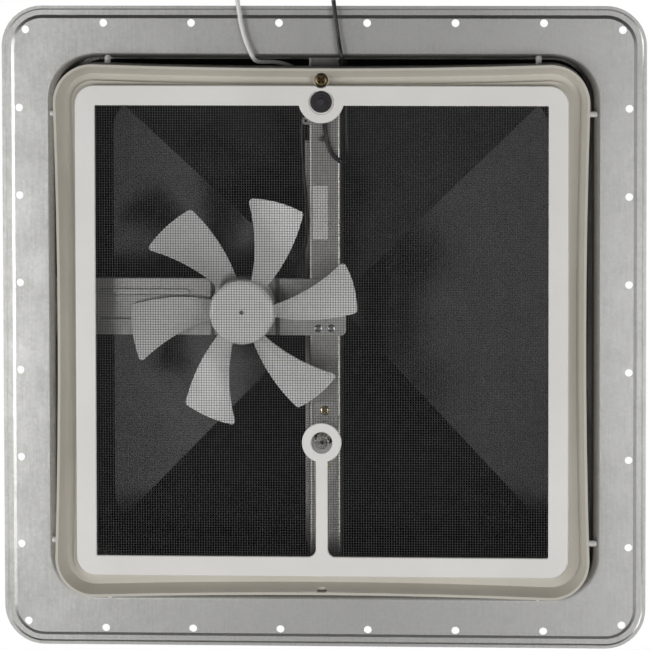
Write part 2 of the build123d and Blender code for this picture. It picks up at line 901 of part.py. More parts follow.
with BuildPart() as supply_wire_white:
    wire_run(
        [
            (-14.2, -162.4, 20),
            (-17.5, -170.5, 17),
            (-31, -177.2, 13),
            (-42, -178.2, 4),
            (-46, -180.8, -3.6),
            (-49.5, -188, -4.2),
            (-53.5, -200, -3.9),
            (-56.5, -217, -3.5),
            (-57, -220, -3.3),
        ],
        supply_r,
    )
save(supply_wire_white, "supply_wire_white")

with BuildPart() as motor_leads:
    for side in (-1, 1):
        wire_run(
            [
                (fan_x + 11, fan_y + side * 3, can_back + 3.2),
                (fan_x + 16, fan_y - 5 + side * 2, 53),
                (-26, -30 + side * 1.5, 36),
                (-15, -50 + side * 1.2, 21.5 + side * 1.2),
                (-14.2, -95, 20 + side * 1.1),
                (-14.2, connector_y + 0.4, 20 + side * 1.1),
            ],
            lead_r,
        )
save(motor_leads, "motor_leads")

# ---- crank operator ----

plate_width = 15.0
plate_low = 52.0
plate_high = 106.0
plate_z = bar_z - 1.6
wall_in = 8.0
wall_out = 9.3
floor_z = bar_z + strap
floor_top = floor_z + 1.6
bridge_z = 36.4
bridge_top = 38.0
bridge_low = 69.4
housing_low = 50.0
housing_high = 101.0
collar_top = floor_top + 2.0
spindle_r = 2.2
operator_screw_ys = (crank_y - 16, crank_y + 21)

crank_axis = Axis((0, crank_y, 0), (0, 0, 1))
crank_plane = Plane(origin=(0, crank_y, 0), x_dir=(1, 0, 0), z_dir=(0, -1, 0))

with BuildPart() as operator_plate:
    with BuildSketch(Plane.XY.offset(plate_z)):
        with Locations((0, (plate_low + plate_high) / 2)):
            RectangleRounded(plate_width, plate_high - plate_low, 2)
        with Locations((0, crank_y)):
            Circle(journal_r + slip, mode=Mode.SUBTRACT)
        with Locations(*[(0, y) for y in operator_screw_ys]):
            Circle(screw_r, mode=Mode.SUBTRACT)
    extrude(amount=bar_z - plate_z)
save(operator_plate, "operator_plate")

with BuildPart() as operator_screws:
    for y in operator_screw_ys:
        add_pan_screw((0, y, plate_z), 3.3, 1.7, screw_r, 6.2)
save(operator_screws, "operator_screws")

with BuildPart() as operator_housing:
    with BuildSketch(Plane.XZ.offset(-housing_high)):
        with BuildLine():
            Polyline(
                (-wall_out, floor_z),
                (wall_out, floor_z),
                (wall_out, bridge_top),
                (wall_in, bridge_top),
                (wall_in, floor_top),
                (-wall_in, floor_top),
                (-wall_in, bridge_top),
                (-wall_out, bridge_top),
                close=True,
            )
        make_face()
    extrude(amount=housing_high - housing_low)
    fillet(operator_housing.edges().filter_by(Axis.Y).group_by(Axis.Z)[0], 1)
    with BuildSketch(Plane.YZ.offset(-wall_out)):
        with BuildLine():
            Polyline(
                (housing_low, 33),
                (housing_low, 60),
                (100, 60),
                (housing_high, 30),
                (housing_high + 1, 30),
                (housing_high + 1, 61),
                (housing_low - 1, 61),
                (housing_low - 1, 33),
                close=True,
            )
        make_face()
    extrude(amount=2 * wall_out, mode=Mode.SUBTRACT)
    with BuildSketch(Plane.YZ.offset(-wall_out)):
        with BuildLine():
            Polyline((86, bridge_top + 1), (housing_high + 1, bridge_top + 1), (housing_high + 1, 20), close=True)
        make_face()
    extrude(amount=2 * wall_out, mode=Mode.SUBTRACT)
    with BuildSketch(Plane.XY.offset(bridge_z)):
        with Locations((0, (bridge_low + 84) / 2)):
            Rectangle(2 * wall_in + 1, 84 - bridge_low)
    extrude(amount=bridge_top - bridge_z)
    with BuildSketch(Plane.XY.offset(floor_z - 1)):
        with Locations((0, crank_y)):
            Circle(journal_r + slip)
        with Locations(*[(0, y) for y in operator_screw_ys]):
            Circle(screw_r)
    extrude(amount=4, mode=Mode.SUBTRACT)
    with BuildSketch(Plane.XY.offset(bridge_z - 1)):
        with Locations((0, crank_y)):
            Circle(spindle_r + slip)
    extrude(amount=4, mode=Mode.SUBTRACT)
    with BuildSketch(Plane.YZ.offset(-wall_out - 1)):
        with Locations((pivot_y, pivot_z)):
            Circle(2)
    extrude(amount=2 * wall_out + 2, mode=Mode.SUBTRACT)
save(operator_housing, "operator_housing")

with BuildPart() as arm_pivot_pin:
    with BuildSketch(Plane.YZ.offset(-wall_out)):
        with Locations((pivot_y, pivot_z)):
            Circle(2)
    extrude(amount=2 * wall_out)
save(arm_pivot_pin, "arm_pivot_pin")

with BuildPart() as crank_bush:
    turned(
        [
            (journal_r + slip, 2),
            (5.6, 2),
            (6.5, 2.9),
            (6.5, plate_z),
            (journal_r + slip, plate_z),
        ],
        crank_plane,
        crank_axis,
    )
save(crank_bush, "crank_bush")

spline_top = -8.5
worm_low = 21.5
worm_high = 34.5

with BuildPart() as crank_shaft:
    turned(
        [
            (1.3, crank_tip),
            (crank_r - 0.6, crank_tip),
            (crank_r, crank_tip + 0.6),
            (crank_r, journal_z),
            (journal_r, journal_z),
            (journal_r, floor_top + slip),
            (6.4, floor_top + slip),
            (6.4, collar_top),
            (spindle_r, collar_top),
            (spindle_r, bridge_top + 1),
            (0, bridge_top + 1),
            (0, crank_tip + 8),
            (1.3, crank_tip + 7),
        ],
        crank_plane,
        crank_axis,
    )
    with BuildSketch(Plane.XY.offset(crank_tip)):
        with Locations((0, crank_y)):
            with PolarLocations(crank_r, 12):
                Rectangle(1.5, 0.5)
    extrude(amount=spline_top - crank_tip, mode=Mode.SUBTRACT)
save(crank_shaft, "crank_shaft")

thread_pitch = pi * module
thread_crest = worm_pitch_r + 0.6
thread_root = worm_pitch_r - 0.85
flank = tan(radians(20))
thread_turns = 5
thread_low = pivot_z - (thread_turns / 2 + 0.25) * thread_pitch

with BuildPart() as drive_worm:
    turned(
        [(spindle_r, worm_low), (thread_root, worm_low), (thread_root, worm_high), (spindle_r, worm_high)],
        crank_plane,
        crank_axis,
    )
    with BuildLine() as thread_path:
        Helix(
            pitch=thread_pitch,
            height=thread_turns * thread_pitch,
            radius=worm_pitch_r,
            center=(0, crank_y, thread_low),
        )
    crest_half = tooth_thickness / 2 - (thread_crest - worm_pitch_r) * flank
    root_half = tooth_thickness / 2 + (worm_pitch_r - thread_root + 0.15) * flank
    with BuildSketch(
        Plane(origin=(0, crank_y, thread_low), x_dir=(1, 0, 0), z_dir=(0, -1, 0))
    ) as thread_section:
        with BuildLine():
            Polyline(
                (thread_root - 0.15, -root_half),
                (thread_crest, -crest_half),
                (thread_crest, crest_half),
                (thread_root - 0.15, root_half),
                close=True,
            )
        make_face()
    sweep(thread_section.sketch, path=thread_path.line, is_frenet=True)
save(drive_worm, "drive_worm")

# ---- lift arm ----

arm_rise = hinge_z - pivot_z
arm_reach = hinge_y - pivot_y
arm_length = hypot(arm_reach, arm_rise)
arm_end_y = pivot_y - arm_reach
arm_lean = degrees(atan(arm_rise / arm_reach))
arm_half = 2.5
cheek_in = 2.05
cheek_out = 5.0
eye_r = 3.4
cheek_r = 8.4
shoe_pin_r = 1.5
pin_half = 6.4

arm_along = (0, -cos(radians(arm_lean)), sin(radians(arm_lean)))
arm_plane = Plane(origin=(0, pivot_y, pivot_z), x_dir=arm_along, z_dir=(-1, 0, 0))
rivet_spots = [(9.5, 3.2), (9.5, -3.2)]

with BuildPart() as lift_arm:
    with BuildSketch(arm_plane.offset(-arm_half)):
        with BuildLine():
            Polyline(
                (17, -5),
                (arm_length - 10, -3.2),
                (arm_length, -eye_r),
                (arm_length, eye_r),
                (arm_length - 10, 3.2),
                (17, 5),
                close=True,
            )
        make_face()
        with Locations((arm_length, 0)):
            Circle(eye_r)
    extrude(amount=2 * arm_half)
    with BuildSketch(arm_plane.offset(-cheek_out)):
        with Locations((18, 0)):
            RectangleRounded(9, 12, 2)
    extrude(amount=2 * cheek_out)
    for low in (-cheek_out, cheek_in):
        with BuildSketch(arm_plane.offset(low)):
            Circle(cheek_r)
            with Locations((9, 0)):
                Rectangle(18, 12)
        extrude(amount=cheek_out - cheek_in)
    with BuildSketch(arm_plane.offset(-10)):
        Circle(2 + slip)
        with Locations((arm_length, 0)):
            Circle(shoe_pin_r)
        with Locations(*rivet_spots):
            Circle(1.2)
    extrude(amount=20, mode=Mode.SUBTRACT)
save(lift_arm, "lift_arm")

with BuildPart() as arm_rivets:
    for x, y in rivet_spots:
        spot = arm_plane.offset(-cheek_out)
        start = Plane(origin=spot.from_local_coords((x, y, 0)), x_dir=spot.x_dir, z_dir=spot.z_dir)
        add_rivet(start, 1.2, 2 * cheek_out, 2.1, 0.8, 0.8)
save(arm_rivets, "arm_rivets")

with BuildPart() as shoe_pin:
    with BuildSketch(Plane.YZ.offset(-pin_half)):
        with Locations((arm_end_y, hinge_z)):
            Circle(shoe_pin_r)
    extrude(amount=2 * pin_half)
save(shoe_pin, "shoe_pin")

sector_pitch_r = module * sector_teeth / 2
sector_tip_r = sector_pitch_r + 0.6
sector_root_r = sector_pitch_r - 0.85
sector_half = 2.0
tooth_step = 360 / sector_teeth
tooth_angles = [tooth_step * (i + 0.5) for i in range(-2, 10)]

sector_plane = Plane(origin=(0, pivot_y, pivot_z), x_dir=(0, 1, 0), z_dir=(1, 0, 0))

with BuildSketch() as gear_tooth:
    with BuildLine():
        tooth_crest = tooth_thickness / 2 - (sector_tip_r - sector_pitch_r) * flank
        tooth_base = tooth_thickness / 2 + (sector_pitch_r - sector_root_r + 0.3) * flank
        Polyline(
            (sector_root_r - 0.3, -tooth_base),
            (sector_tip_r, -tooth_crest),
            (sector_tip_r, tooth_crest),
            (sector_root_r - 0.3, tooth_base),
            close=True,
        )
    make_face()

with BuildSketch() as gear_lug:
    with Locations((6.6, 0)):
        RectangleRounded(13.2, 10, 1.5)

with BuildSketch() as gear_holes:
    Circle(2 + slip)
    with Locations(*rivet_spots):
        Circle(1.2)

with BuildPart() as sector_gear:
    with BuildSketch(sector_plane.offset(-sector_half)):
        Circle(sector_root_r)
        for angle in tooth_angles:
            add(gear_tooth.sketch, rotation=angle)
        add(gear_lug.sketch, rotation=180 - arm_lean)
        add(gear_holes.sketch, rotation=180 - arm_lean, mode=Mode.SUBTRACT)
    extrude(amount=2 * sector_half)
save(sector_gear, "sector_gear")

# ---- slide rail and shoe ----

rail_top = lid_flat
rail_flange = 16.4
flange_low = -121.0
flange_high = 157.0
flange_chamfer = 10.0
shoe_half_length = 7.0
shoe_clear = 0.3
shoe_half = rail_half - strap - shoe_clear
shoe_low = rail_bottom + strap + shoe_clear
shoe_high = rail_top - strap - shoe_clear

with BuildPart() as slide_rail:
    with BuildSketch(Plane.XZ.offset(-rail_length / 2)):
        with Locations((0, (rail_bottom + rail_top) / 2)):
            Rectangle(2 * rail_half, rail_top - rail_bottom)
            Rectangle(2 * (rail_half - strap), rail_top - rail_bottom - 2 * strap, mode=Mode.SUBTRACT)
        with Locations((0, rail_bottom)):
            Rectangle(rail_slot, 3, mode=Mode.SUBTRACT)
    extrude(amount=rail_length)
    with BuildSketch(Plane.XY.offset(rail_top - strap)):
        with BuildLine():
            Polyline(
                (-rail_half + 0.5, flange_low),
                (-rail_flange, flange_low),
                (-rail_flange, flange_high),
                (-rail_half, flange_high + flange_chamfer),
                (-rail_half + 0.5, flange_high + flange_chamfer),
                close=True,
            )
        make_face()
    extrude(amount=strap)
    with BuildSketch(Plane.XY.offset(rail_top - 3)):
        with Locations(*rail_rivet_spots):
            Circle(rivet_r)
    extrude(amount=4, mode=Mode.SUBTRACT)
save(slide_rail, "slide_rail")

with BuildPart() as rail_rivets:
    for x, y in rail_rivet_spots:
        start = Plane(origin=(x, y, lid_flat + lid_wall), x_dir=(1, 0, 0), z_dir=(0, 0, -1))
        add_rivet(start, rivet_r, lid_wall + strap, 3.6, 1.5, 1.2)
save(rail_rivets, "rail_rivets")

with BuildPart() as slide_shoe:
    with BuildSketch(Plane.XY.offset(shoe_low)):
        with Locations((0, arm_end_y)):
            RectangleRounded(2 * shoe_half, 2 * shoe_half_length, 1.5)
            with Locations((0, 2)):
                Rectangle(2 * arm_half + 1.2, 2 * shoe_half_length - 1, mode=Mode.SUBTRACT)
    extrude(amount=shoe_high - shoe_low)
    with BuildSketch(Plane.YZ.offset(-rail_half)):
        with Locations((arm_end_y, hinge_z)):
            Circle(shoe_pin_r + slip)
    extrude(amount=2 * rail_half, mode=Mode.SUBTRACT)
save(slide_shoe, "slide_shoe")

# ---- lid ----

dome_lean = degrees(atan((dome_foot - dome_brow) / (dome_brow_z - lid_flat)))
dome_corner = 29.0
dome_slope = dome_brow / (dome_apex_z - dome_brow_z)
tip_half = 2.0


def dome_solid(inset, drop):
    """The raised middle of the lid, shrunk by inset on its sides and lowered by drop."""
    low_z = dome_brow_z - 6
    with BuildPart(mode=Mode.PRIVATE) as block:
        with BuildSketch(Plane.XY.offset(lid_flat)) as foot:
            rounded_square(dome_foot - inset, dome_corner - inset)
        extrude(foot.sketch, amount=dome_apex_z - lid_flat, taper=dome_lean)
    with BuildPart(mode=Mode.PRIVATE) as roof:
        with BuildSketch(Plane.XY.offset(low_z - drop)) as base:
            side = 2 * (dome_brow + 6 * dome_slope)
            Rectangle(side, side)
        with BuildSketch(Plane.XY.offset(dome_apex_z - drop)) as tip:
            Rectangle(2 * tip_half, 2 * tip_half)
        loft(sections=[base.sketch, tip.sketch])
        with BuildSketch(Plane.XY.offset(low_z - drop)) as under:
            Rectangle(side, side)
        extrude(under.sketch, amount=-30)
    return (block.part & roof.part).solid()


lid_shape = dome_solid(0, 0)
lid_hollow = dome_solid(lid_wall, lid_wall)

with BuildPart() as lid_dome:
    with BuildSketch(Plane.XY.offset(lid_flat)):
        rounded_square(lid_half, lid_corner)
    extrude(amount=lid_wall)
    add(lid_shape)
    add(lid_hollow, mode=Mode.SUBTRACT)
    with BuildSketch(Plane.XY.offset(lid_flat - 0.1)):
        rounded_square(dome_foot - lid_wall, dome_corner - lid_wall)
    extrude(amount=lid_wall + 0.2, mode=Mode.SUBTRACT)
    with BuildSketch(Plane.XY.offset(skirt_bottom)):
        rounded_square(lid_half, lid_corner)
        RectangleRounded(
            2 * (lid_half - lid_wall), 2 * (lid_half - lid_wall), lid_corner - lid_wall, mode=Mode.SUBTRACT
        )
    extrude(amount=lid_flat + lid_wall - skirt_bottom)
    with BuildSketch(Plane.XY.offset(lid_flat - 1)):
        with Locations(*rail_rivet_spots):
            Circle(rivet_r)
        with Locations(*lid_rivets):
            Circle(lid_rivet_r)
    extrude(amount=lid_wall + 2, mode=Mode.SUBTRACT)
save(lid_dome, "lid_dome")

gasket_half = gasket_mid + gasket_width / 2

with BuildPart() as lid_gasket:
    with BuildSketch(Plane.XY.offset(curb_top + slip)):
        rounded_square(gasket_half, neck_corner + gasket_width / 2)
        RectangleRounded(
            2 * (gasket_half - gasket_width),
            2 * (gasket_half - gasket_width),
            neck_corner - gasket_width / 2,
            mode=Mode.SUBTRACT,
        )
    extrude(amount=lid_flat - curb_top - slip)
save(lid_gasket, "lid_gasket")

# ---- hinge ----

leaf_low = 22.0
leaf_bend = 34.0
leaf_y = neck_half + sheet
lid_leaf_low = 186.4
lid_leaf_high = 194.4
knuckle_gap = 0.4
middle_knuckle = 11.0


def knuckle(x_low, x_high, bore_r):
    """A hinge knuckle between two places along X."""
    with BuildSketch(Plane.YZ.offset(x_low)) as tube:
        with Locations((hinge_y, hinge_z)):
            Circle(knuckle_r)
    extrude(tube.sketch, amount=x_high - x_low)
    with BuildSketch(Plane.YZ.offset(x_low)) as bore:
        with Locations((hinge_y, hinge_z)):
            Circle(bore_r)
    extrude(bore.sketch, amount=x_high - x_low, mode=Mode.SUBTRACT)


with BuildPart() as hinge_leaf_base:
    for x in (-hinge_at, hinge_at):
        left = x - hinge_width / 2
        with BuildSketch(Plane.YZ.offset(left)) as strip:
            with BuildLine():
                Polyline(
                    (leaf_y, leaf_low),
                    (leaf_y + strap, leaf_low),
                    (leaf_y + strap, leaf_bend),
                    (hinge_y - 0.6, hinge_z - 1.9),
                    (hinge_y - 1.9, hinge_z - 0.6),
                    (leaf_y, leaf_bend + 0.6),
                    close=True,
                )
            make_face()
        extrude(strip.sketch, amount=hinge_width)
        for low in (left, x + middle_knuckle + knuckle_gap):
            knuckle(low, low + hinge_width / 2 - middle_knuckle - knuckle_gap, hinge_pin_r)
        with BuildSketch(Plane.YZ.offset(x - middle_knuckle - knuckle_gap)) as gap:
            with Locations((hinge_y, hinge_z)):
                Circle(knuckle_r + 0.6)
        extrude(gap.sketch, amount=2 * (middle_knuckle + knuckle_gap), mode=Mode.SUBTRACT)
        with BuildSketch(Plane.XZ.offset(-leaf_y - 2)) as holes:
            with Locations((x - hinge_rivet_gap, hinge_rivet_z), (x + hinge_rivet_gap, hinge_rivet_z)):
                Circle(rivet_r)
        extrude(holes.sketch, amount=4, mode=Mode.SUBTRACT)
save(hinge_leaf_base, "hinge_leaf_base")

with BuildPart() as hinge_rivets_base:
    for x in (-hinge_at, hinge_at):
        for gap in (-hinge_rivet_gap, hinge_rivet_gap):
            start = Plane(
                origin=(x + gap, leaf_y + strap, hinge_rivet_z), x_dir=(1, 0, 0), z_dir=(0, -1, 0)
            )
            add_rivet(start, rivet_r, strap + sheet, 3.4, 0.9, 1.0)
save(hinge_rivets_base, "hinge_rivets_base")

with BuildPart() as hinge_pins:
    for x in (-hinge_at, hinge_at):
        with BuildSketch(Plane.YZ.offset(x - hinge_width / 2)) as pin:
            with Locations((hinge_y, hinge_z)):
                Circle(hinge_pin_r)
        extrude(pin.sketch, amount=hinge_width)
save(hinge_pins, "hinge_pins")

with BuildPart() as hinge_leaf_lid:
    for x in (-hinge_at, hinge_at):
        with BuildSketch(Plane.XY.offset(lid_flat - strap)) as leaf:
            with Locations((x, (lid_leaf_low + lid_leaf_high) / 2)):
                RectangleRounded(hinge_width - 4, lid_leaf_high - lid_leaf_low, 1)
        extrude(leaf.sketch, amount=strap)
        with BuildSketch(Plane.XY.offset(hinge_z)) as web:
            with Locations((x, hinge_y + knuckle_r - strap / 2)):
                Rectangle(2 * middle_knuckle, strap)
        extrude(web.sketch, amount=lid_flat - strap - hinge_z + 0.1)
        knuckle(x - middle_knuckle, x + middle_knuckle, hinge_pin_r + slip)
    with BuildSketch(Plane.XY.offset(lid_flat - strap - 1)) as holes:
        with Locations(*lid_rivets):
            Circle(lid_rivet_r)
    extrude(holes.sketch, amount=strap + 2, mode=Mode.SUBTRACT)
save(hinge_leaf_lid, "hinge_leaf_lid")

with BuildPart() as hinge_rivets_lid:
    for x, y in lid_rivets:
        start = Plane(origin=(x, y, lid_flat + lid_wall), x_dir=(1, 0, 0), z_dir=(0, 0, -1))
        add_rivet(start, lid_rivet_r, strap + lid_wall, 3.2, 1.3, 0.8)
save(hinge_rivets_lid, "hinge_rivets_lid")
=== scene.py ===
"""Looks of the powered roof vent: materials, woven screen, foam seal, light and camera."""

import json
import math
import random

import bpy
from mathutils import Euler, Matrix, Vector


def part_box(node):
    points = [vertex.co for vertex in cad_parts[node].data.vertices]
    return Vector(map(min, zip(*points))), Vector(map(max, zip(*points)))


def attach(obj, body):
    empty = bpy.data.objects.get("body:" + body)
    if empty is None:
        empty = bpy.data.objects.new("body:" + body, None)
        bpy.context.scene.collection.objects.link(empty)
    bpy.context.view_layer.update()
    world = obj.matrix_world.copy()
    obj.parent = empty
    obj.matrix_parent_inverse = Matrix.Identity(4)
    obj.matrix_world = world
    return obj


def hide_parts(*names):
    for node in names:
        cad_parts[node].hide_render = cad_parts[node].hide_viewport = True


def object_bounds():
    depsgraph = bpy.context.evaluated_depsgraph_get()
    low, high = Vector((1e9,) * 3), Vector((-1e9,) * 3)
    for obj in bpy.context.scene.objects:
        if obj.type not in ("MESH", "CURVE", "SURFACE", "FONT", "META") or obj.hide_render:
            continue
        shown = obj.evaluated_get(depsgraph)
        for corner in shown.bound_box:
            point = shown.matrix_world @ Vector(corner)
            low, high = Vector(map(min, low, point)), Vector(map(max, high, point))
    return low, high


MM = 0.001

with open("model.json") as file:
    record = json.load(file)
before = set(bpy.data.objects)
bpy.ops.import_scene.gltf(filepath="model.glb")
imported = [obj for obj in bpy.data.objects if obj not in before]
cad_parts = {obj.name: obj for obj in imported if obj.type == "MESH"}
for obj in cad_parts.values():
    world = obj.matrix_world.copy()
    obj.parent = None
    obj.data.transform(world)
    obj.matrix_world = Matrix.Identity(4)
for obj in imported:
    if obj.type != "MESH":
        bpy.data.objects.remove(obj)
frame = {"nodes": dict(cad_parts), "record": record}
cad_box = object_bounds()


# ---- node helpers ----


class Surface:
    """A material under construction: its node tree, its shader and its object coordinates."""

    def __init__(self, name):
        self.material = bpy.data.materials.new(name)
        self.material.use_nodes = True
        self.nodes = self.material.node_tree.nodes
        self.links = self.material.node_tree.links
        self.shader = next(n for n in self.nodes if n.type == "BSDF_PRINCIPLED")
        self.output = next(n for n in self.nodes if n.type == "OUTPUT_MATERIAL")
        self.coords = self.nodes.new("ShaderNodeTexCoord").outputs["Object"]

    def set(self, **values):
        """Sets plain values on the shader's sockets, with underscores for spaces."""
        for key, value in values.items():
            self.shader.inputs[key.replace("_", " ")].default_value = value

    def link(self, source, socket):
        """Joins a node's output to one of the shader's sockets."""
        self.links.new(source, self.shader.inputs[socket])

    def stretched(self, scale):
        """Object coordinates multiplied by scale, so that a texture stretches along an axis."""
        mapping = self.nodes.new("ShaderNodeMapping")
        mapping.inputs["Scale"].default_value = scale
        self.links.new(self.coords, mapping.inputs["Vector"])
        return mapping.outputs["Vector"]

    def noise(self, scale, detail=4.0, roughness=0.55, coords=None):
        """A noise value from 0 to 1."""
        node = self.nodes.new("ShaderNodeTexNoise")
        node.inputs["Scale"].default_value = scale
        node.inputs["Detail"].default_value = detail
        node.inputs["Roughness"].default_value = roughness
        self.links.new(coords or self.coords, node.inputs["Vector"])
        return node.outputs["Fac"]

    def cells(self, scale, output="Color"):
        """A value per Voronoi cell, or another of the texture's outputs."""
        node = self.nodes.new("ShaderNodeTexVoronoi")
        node.inputs["Scale"].default_value = scale
        self.links.new(self.coords, node.inputs["Vector"])
        return node.outputs[output]

    def ramp(self, value, *stops):
        """A colour ramp: stops are (place, colour) pairs."""
        node = self.nodes.new("ShaderNodeValToRGB")
        elements = node.color_ramp.elements
        while len(elements) < len(stops):
            elements.new(0.5)
        for element, (place, colour) in zip(elements, stops):
            element.position = place
            element.color = (*colour, 1.0)
        self.links.new(value, node.inputs["Fac"])
        return node.outputs["Color"]

    def spread(self, value, low, high, from_low=0.0, from_high=1.0):
        """Maps a value from one range to another."""
        node = self.nodes.new("ShaderNodeMapRange")
        node.inputs["From Min"].default_value = from_low
        node.inputs["From Max"].default_value = from_high
        node.inputs["To Min"].default_value = low
        node.inputs["To Max"].default_value = high
        self.links.new(value, node.inputs["Value"])
        return node.outputs["Result"]

    def mix(self, factor, first, second):
        """Mixes two colours."""
        node = self.nodes.new("ShaderNodeMix")
        node.data_type = "RGBA"
        if isinstance(factor, float):
            node.inputs[0].default_value = factor
        else:
            self.links.new(factor, node.inputs[0])
        for socket, value in ((node.inputs[6], first), (node.inputs[7], second)):
            if isinstance(value, tuple):
                socket.default_value = (*value, 1.0)
            else:
                self.links.new(value, socket)
        return node.outputs[2]

    def edges(self, radius):
        """A value that is high where an edge stands proud, for wear."""
        bevel = self.nodes.new("ShaderNodeBevel")
        bevel.samples = 4
        bevel.inputs["Radius"].default_value = radius
        geometry = self.nodes.new("ShaderNodeNewGeometry")
        product = self.nodes.new("ShaderNodeVectorMath")
        product.operation = "DOT_PRODUCT"
        self.links.new(bevel.outputs["Normal"], product.inputs[0])
        self.links.new(geometry.outputs["Normal"], product.inputs[1])
        return self.spread(product.outputs["Value"], 1.0, 0.0, 0.75, 1.0)

    def crevices(self, distance):
        """A value that is high where surfaces stand close together, for painted shade."""
        node = self.nodes.new("ShaderNodeAmbientOcclusion")
        node.samples = 6
        node.inputs["Distance"].default_value = distance
        return self.spread(node.outputs["AO"], 0.85, 0.0, 0.3, 0.85)

    def bump(self, height, distance, strength=1.0):
        """Bumps the shader's normal by a height value."""
        node = self.nodes.new("ShaderNodeBump")
        node.inputs["Strength"].default_value = strength
        node.inputs["Distance"].default_value = distance
        self.links.new(height, node.inputs["Height"])
        self.links.new(node.outputs["Normal"], self.shader.inputs["Normal"])


# ---- materials ----


def galvanised(name="galvanised", dark=(0.44, 0.438, 0.425), light=(0.64, 0.636, 0.62), rough=(0.36, 0.5)):
    """Hot-dip zinc sheet: soft spangle, fine rolling streaks and dull stains."""
    s = Surface(name)
    spangle = s.cells(520.0)
    blotch = s.noise(30.0, 6.0, 0.65)
    streak = s.noise(40.0, 4.0, coords=s.stretched((18.0, 1.0, 18.0)))
    tone = s.mix(0.2, blotch, spangle)
    tone = s.mix(0.3, tone, streak)
    s.link(s.ramp(tone, (0.3, dark), (0.7, light)), "Base Color")
    s.link(s.spread(tone, rough[1], rough[0], 0.3, 0.7), "Roughness")
    s.set(Metallic=1.0)
    s.bump(s.noise(900.0, 4.0, 0.7), 0.00008, 0.5)
    return s.material


def plated_steel(name="plated_steel", dark=(0.5, 0.5, 0.5), light=(0.72, 0.72, 0.71), rough=0.28):
    """Bright zinc plate with faint handling marks and painted shade darkening its crevices."""
    s = Surface(name)
    tone = s.noise(180.0, 5.0)
    # Crevices darken towards near black: painted shade where surfaces stand close together.
    painted_crevice_shade = tuple(channel * 0.08 for channel in dark)
    colour = s.mix(s.crevices(0.0015), s.ramp(tone, (0.3, dark), (0.7, light)), painted_crevice_shade)
    s.link(colour, "Base Color")
    s.link(s.spread(tone, rough + 0.12, rough - 0.06, 0.3, 0.7), "Roughness")
    s.set(Metallic=1.0)
    s.bump(s.noise(900.0, 2.0), 0.00004, 0.4)
    return s.material


def moulded(name, low, high, rough=0.42, grain=1400.0, soil=None, coat=0.0):
    """Moulded plastic: fine grain, slow colour drift and scuffed edges."""
    s = Surface(name)
    drift = s.noise(14.0, 4.0)
    colour = s.ramp(drift, (0.3, low), (0.7, high))
    if soil:
        speck = s.spread(s.noise(230.0, 6.0, 0.7), 0.0, 0.5, 0.62, 0.8)
        colour = s.mix(speck, colour, soil)
    worn = tuple(min(1.0, c * 1.12 + 0.01) for c in high)
    colour = s.mix(s.spread(s.edges(0.0006), 0.0, 0.5), colour, worn)
    s.link(colour, "Base Color")
    s.link(s.spread(s.noise(90.0, 4.0), rough + 0.08, rough - 0.06, 0.3, 0.7), "Roughness")
    s.set(Coat_Weight=coat, IOR=1.5)
    s.bump(s.noise(grain, 3.0), 0.00005, 0.5)
    return s.material


LID_OPACITY = 0.985


def smoke_lid():
    """Dark translucent lid: lets a little light through and shows soft moulding waves."""
    s = Surface("smoke_lid")
    haze = s.noise(9.0, 3.0)
    tint = s.ramp(haze, (0.3, (0.0065, 0.006, 0.0064)), (0.7, (0.0095, 0.0088, 0.0093)))
    s.link(tint, "Base Color")
    s.link(s.spread(s.noise(30.0, 2.0), 0.27, 0.21, 0.3, 0.7), "Roughness")
    s.set(IOR=1.36)
    s.bump(s.noise(22.0, 1.0), 0.0002, 0.12)
    clear = s.nodes.new("ShaderNodeBsdfTransparent")
    clear.inputs["Color"].default_value = (0.9, 0.88, 0.88, 1.0)
    blend = s.nodes.new("ShaderNodeMixShader")
    blend.inputs["Fac"].default_value = LID_OPACITY
    s.links.new(clear.outputs["BSDF"], blend.inputs[1])
    s.links.new(s.shader.outputs["BSDF"], blend.inputs[2])
    s.links.new(blend.outputs["Shader"], s.output.inputs["Surface"])
    return s.material


def yarn():
    """Coated screen yarn, dull and slightly uneven."""
    s = Surface("screen_yarn")
    tone = s.noise(160.0, 3.0)
    s.link(s.ramp(tone, (0.3, (0.032, 0.031, 0.032)), (0.7, (0.058, 0.056, 0.055))), "Base Color")
    s.link(s.spread(s.noise(700.0), 0.42, 0.58), "Roughness")
    s.bump(s.noise(4000.0, 2.0), 0.00003, 0.5)
    return s.material


def insulation(name, low, high):
    """Wire insulation: slightly wrinkled soft vinyl."""
    s = Surface(name)
    s.link(s.ramp(s.noise(240.0, 4.0), (0.3, low), (0.7, high)), "Base Color")
    s.link(s.spread(s.noise(500.0), 0.32, 0.46), "Roughness")
    s.bump(s.noise(1200.0, 3.0), 0.00005, 0.6)
    return s.material


def foam():
    """Closed cell foam with open pores on its skin."""
    s = Surface("seal_foam")
    pores = s.cells(1100.0, "Distance")
    s.link(s.ramp(pores, (0.1, (0.012, 0.012, 0.012)), (0.6, (0.05, 0.05, 0.05))), "Base Color")
    s.set(Roughness=0.92)
    s.bump(pores, 0.0004, 0.8)
    return s.material


def sticker():
    """Blank vinyl sticker with a soft gloss."""
    s = Surface("blank_sticker")
    tone = s.noise(60.0, 4.0)
    s.link(s.ramp(tone, (0.3, (0.74, 0.73, 0.71)), (0.7, (0.82, 0.81, 0.79))), "Base Color")
    s.link(s.spread(s.noise(300.0), 0.28, 0.42), "Roughness")
    s.bump(s.noise(300.0, 3.0), 0.00004, 0.6)
    return s.material


